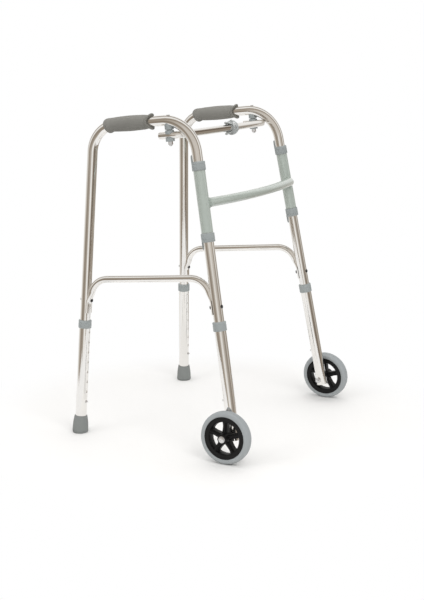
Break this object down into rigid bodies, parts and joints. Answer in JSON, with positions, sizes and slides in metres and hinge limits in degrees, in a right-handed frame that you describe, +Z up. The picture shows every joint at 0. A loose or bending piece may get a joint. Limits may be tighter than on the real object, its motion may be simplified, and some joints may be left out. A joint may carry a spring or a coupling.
{
  "type": "walking frame",
  "caption": "Folding hospital walking frame with telescopic legs, front wheels, rubber rear tips, moulded hand grips, a painted front brace and a top bar with a centre lock.",
  "frame": {"origin": "on the floor, at the middle of the bounding box's width and length", "axes": "+Z up; -Y is the front, with the wheels and the brace; the user stands at +Y; +X is the side called left"},
  "size_m": [0.6532, 0.5108, 0.7972],
  "materials": {
    "polished_aluminium": "polished",
    "green_paint": "satin",
    "grey_plastic": "satin",
    "grip": "matt",
    "grey_rubber": "matt",
    "grey_tyre": "matt",
    "black_plastic": "satin",
    "bright_steel": "bright",
    "spring_steel": "plain",
    "dark_rivet": "dark"
  },
  "bodies": {
    "brace": {"front_brace": "green_paint"},
    "left_frame": {"left_side_frame": "polished_aluminium", "left_side_rail": "polished_aluminium", "left_rail_rivets": "dark_rivet", "left_hand_grip": "grip", "left_brace_stops": "grey_plastic", "left_pivot_saddle": "grey_plastic", "left_pivot_bolt": "bright_steel", "left_pivot_nut": "bright_steel", "left_rear_button_spring": "spring_steel", "left_front_button_spring": "spring_steel"},
    "left_rear_leg": {"left_rear_leg_extension": "polished_aluminium", "left_rear_leg_collar": "grey_plastic", "left_rear_foot": "grey_rubber"},
    "left_wheel_leg": {"left_front_leg_extension": "polished_aluminium", "left_front_leg_collar": "grey_plastic", "left_wheel_leg_plug": "black_plastic", "left_wheel_leg_screw": "bright_steel", "left_axle_spacer": "black_plastic", "left_axle_bolt": "bright_steel", "left_axle_nut": "bright_steel"},
    "left_wheel": {"left_wheel_hub": "black_plastic", "left_tyre": "grey_tyre", "left_wheel_bush": "black_plastic"},
    "left_rear_button": {"left_rear_snap_button": "bright_steel"},
    "left_front_button": {"left_front_snap_button": "bright_steel"},
    "left_bar": {"left_top_bar": "polished_aluminium", "left_bar_saddles": "grey_plastic", "centre_lock_body": "grey_plastic", "centre_lock_rivet": "bright_steel", "centre_lock_spring": "spring_steel"},
    "right_frame": {"right_side_frame": "polished_aluminium", "right_side_rail": "polished_aluminium", "right_rail_rivets": "dark_rivet", "right_hand_grip": "grip", "right_brace_stops": "grey_plastic", "right_pivot_saddle": "grey_plastic", "right_pivot_bolt": "bright_steel", "right_pivot_nut": "bright_steel", "right_rear_button_spring": "spring_steel", "right_front_button_spring": "spring_steel"},
    "right_rear_leg": {"right_rear_leg_extension": "polished_aluminium", "right_rear_leg_collar": "grey_plastic", "right_rear_foot": "grey_rubber"},
    "right_wheel_leg": {"right_front_leg_extension": "polished_aluminium", "right_front_leg_collar": "grey_plastic", "right_wheel_leg_plug": "black_plastic", "right_wheel_leg_screw": "bright_steel", "right_axle_spacer": "black_plastic", "right_axle_bolt": "bright_steel", "right_axle_nut": "bright_steel"},
    "right_wheel": {"right_wheel_hub": "black_plastic", "right_tyre": "grey_tyre", "right_wheel_bush": "black_plastic"},
    "right_rear_button": {"right_rear_snap_button": "bright_steel"},
    "right_front_button": {"right_front_snap_button": "bright_steel"},
    "right_bar": {"right_top_bar": "polished_aluminium", "right_bar_saddles": "grey_plastic"},
    "lock_ring": {"centre_lock_ring": "grey_plastic", "centre_lock_pin": "spring_steel"}
  },
  "joints": [
    {"name": "left_fold", "type": "hinge", "parent": "brace", "child": "left_frame", "pos_m": [0.23083, -0.09716, 0.60033], "axis": [-0.0592, 0.1788, 0.9821], "range_deg": [0, 80]},
    {"name": "left_rear_height", "type": "slide", "parent": "left_frame", "child": "left_rear_leg", "axis": [0.0601, 0.0384, -0.9975], "range_m": [0, 0.1524]},
    {"name": "left_wheel_height", "type": "slide", "parent": "left_frame", "child": "left_wheel_leg", "axis": [0.0592, -0.1788, -0.9821], "range_m": [0, 0.1524]},
    {"name": "left_wheel_spin", "type": "hinge", "parent": "left_wheel_leg", "child": "left_wheel", "pos_m": [0.29831, -0.19294, 0.06263], "axis": [0.9982, 0, 0.0602], "continuous": true},
    {"name": "left_rear_button_press", "type": "slide", "parent": "left_frame", "child": "left_rear_button", "axis": [-0.0023, 0.9993, 0.0383], "range_m": [0, 0.004], "stiffness_N_per_m": 900, "springref_m": -0.002, "deforming": ["left_rear_button_spring"]},
    {"name": "left_front_button_press", "type": "slide", "parent": "left_frame", "child": "left_front_button", "axis": [-0.0108, -0.9839, 0.1785], "range_m": [0, 0.004], "stiffness_N_per_m": 900, "springref_m": -0.002, "deforming": ["left_front_button_spring"]},
    {"name": "left_bar_swing", "type": "hinge", "parent": "left_frame", "child": "left_bar", "pos_m": [0.221, -0.0042, 0.747], "axis": [0, -0.1011, -0.9949], "range_deg": [0, 60]},
    {"name": "right_fold", "type": "hinge", "parent": "brace", "child": "right_frame", "pos_m": [-0.23083, -0.09716, 0.60033], "axis": [-0.0592, -0.1788, -0.9821], "range_deg": [0, 55]},
    {"name": "right_rear_height", "type": "slide", "parent": "right_frame", "child": "right_rear_leg", "axis": [-0.0601, 0.0384, -0.9975], "range_m": [0, 0.1524]},
    {"name": "right_wheel_height", "type": "slide", "parent": "right_frame", "child": "right_wheel_leg", "axis": [-0.0592, -0.1788, -0.9821], "range_m": [0, 0.1524]},
    {"name": "right_wheel_spin", "type": "hinge", "parent": "right_wheel_leg", "child": "right_wheel", "pos_m": [-0.29831, -0.19294, 0.06263], "axis": [-0.9982, 0, 0.0602], "continuous": true},
    {"name": "right_rear_button_press", "type": "slide", "parent": "right_frame", "child": "right_rear_button", "axis": [0.0023, 0.9993, 0.0383], "range_m": [0, 0.004], "stiffness_N_per_m": 900, "springref_m": -0.002, "deforming": ["right_rear_button_spring"]},
    {"name": "right_front_button_press", "type": "slide", "parent": "right_frame", "child": "right_front_button", "axis": [0.0108, -0.9839, 0.1785], "range_m": [0, 0.004], "stiffness_N_per_m": 900, "springref_m": -0.002, "deforming": ["right_front_button_spring"]},
    {"name": "right_bar_swing", "type": "hinge", "parent": "right_frame", "child": "right_bar", "pos_m": [-0.221, -0.0042, 0.747], "axis": [0, 0.1011, 0.9949], "range_deg": [0, 60]},
    {"name": "lock_release", "type": "slide", "parent": "left_bar", "child": "lock_ring", "axis": [0, 0.1011, 0.9949], "range_m": [0, 0.003], "stiffness_N_per_m": 400, "springref_m": -0.003, "deforming": ["centre_lock_spring"]}
  ]
}
